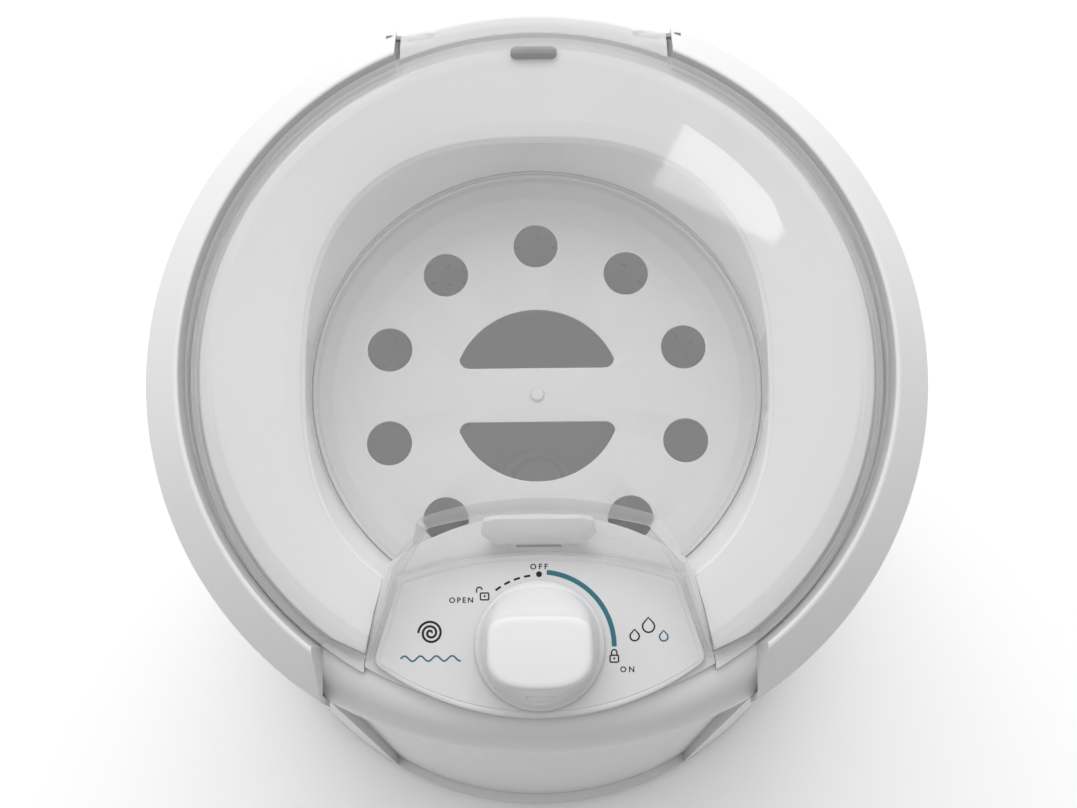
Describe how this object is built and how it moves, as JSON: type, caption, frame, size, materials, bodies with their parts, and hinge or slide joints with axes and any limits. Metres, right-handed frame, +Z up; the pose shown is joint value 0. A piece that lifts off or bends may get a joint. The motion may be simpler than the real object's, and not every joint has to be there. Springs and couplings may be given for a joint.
{
  "type": "laundry spin dryer",
  "caption": "Round top-loading spin dryer with a clear hinged lid, a locking control knob, a press disc and a spin basket driven by a sprung motor.",
  "frame": {"origin": "on the floor, under the middle of the round cabinet's bounding box", "axes": "+Z up, the control panel and knob towards -Y, the lid's hinge towards +Y, +X to the right seen from the front"},
  "size_m": [0.469, 0.469, 0.613],
  "materials": {
    "white_plastic": "satin moulded white plastic",
    "panel_plastic": "satin light grey film with teal marks",
    "clear_plastic": "clear polished plastic",
    "disc_plastic": "matt light grey plastic",
    "tub_plastic": "matt grey plastic",
    "black_plastic": "matt black plastic",
    "rubber": "matt black rubber",
    "basket_plastic": "matt moulded light plastic",
    "steel": "turned steel",
    "zinc": "zinc-plated pressed steel",
    "cast_aluminium": "rough cast aluminium",
    "dark_steel": "dark laminated steel",
    "brake_lining": "matt brake lining"
  },
  "bodies": {
    "cabinet": {"outer_casing": "white_plastic", "base_tray": "white_plastic", "top_ring": "white_plastic", "foot_1": "rubber", "foot_2": "rubber", "foot_3": "rubber", "foot_4": "rubber", "collar_funnel": "white_plastic", "lock_housing": "white_plastic", "control_panel": "panel_plastic", "collar_screw_1": "zinc", "collar_screw_2": "zinc", "collar_screw_3": "zinc", "collar_screw_4": "zinc", "hinge_pin_left": "steel", "hinge_pin_right": "steel", "lock_frame": "zinc", "rotary_switch": "black_plastic", "door_switch": "black_plastic", "bearing_housing": "cast_aluminium", "lower_bearing": "steel", "upper_bearing": "steel", "motor_plate": "zinc", "spring_mount_1": "rubber", "spring_mount_2": "rubber", "spring_mount_3": "rubber", "suspension_spring_1": "steel", "suspension_spring_2": "steel", "suspension_spring_3": "steel", "motor_housing": "cast_aluminium", "motor_stator": "dark_steel", "brake_pivot": "steel", "brake_cable": "black_plastic", "water_tub": "tub_plastic", "shaft_boot": "rubber", "drain_hose": "rubber", "drain_spout": "black_plastic", "cord_gland": "rubber", "run_capacitor": "black_plastic", "rear_stop_pad": "rubber"},
    "lid": {"lid": "clear_plastic", "lid_latch": "white_plastic"},
    "knob": {"knob": "white_plastic", "knob_shaft": "steel", "lock_cam": "black_plastic"},
    "lock_bolt": {"lock_bolt": "zinc"},
    "brake": {"brake_lever": "zinc", "brake_pad": "brake_lining"},
    "rotor": {"spin_basket": "basket_plastic", "basket_neck_ring": "basket_plastic", "basket_hub": "cast_aluminium", "drive_shaft": "steel", "hub_nut": "zinc", "hub_cap": "basket_plastic", "motor_rotor": "dark_steel", "brake_drum": "dark_steel"},
    "disc": {"press_disc": "disc_plastic", "press_disc_grip": "disc_plastic", "press_disc_rim": "disc_plastic"}
  },
  "joints": [
    {"name": "lid_hinge", "type": "hinge", "parent": "cabinet", "child": "lid", "pos_m": [0, 0.206, 0.5705], "axis": [-1, 0, 0], "range_deg": [0, 90]},
    {"name": "knob_turn", "type": "hinge", "parent": "cabinet", "child": "knob", "pos_m": [0, -0.163, 0.57], "axis": [0, 0, -1], "range_deg": [-47, 95]},
    {"name": "bolt_slide", "type": "slide", "parent": "cabinet", "child": "lock_bolt", "axis": [0, 1, 0], "range_m": [-0.0042, 0.0084]},
    {"name": "brake_swing", "type": "hinge", "parent": "cabinet", "child": "brake", "pos_m": [0.0482, 0.024, 0.032], "axis": [0, 0, 1], "range_deg": [-2.7, 5.3]},
    {"name": "basket_spin", "type": "hinge", "parent": "cabinet", "child": "rotor", "pos_m": [0, 0, 0.3], "axis": [0, 0, 1], "continuous": true},
    {"name": "disc_press", "type": "slide", "parent": "rotor", "child": "disc", "axis": [0, 0, -1], "range_m": [0, 0.22]}
  ],
  "couplings": [
    {"joint": "bolt_slide", "follows": "knob_turn", "m_per_rad": 0.005},
    {"joint": "brake_swing", "follows": "knob_turn", "ratio": 0.055}
  ]
}
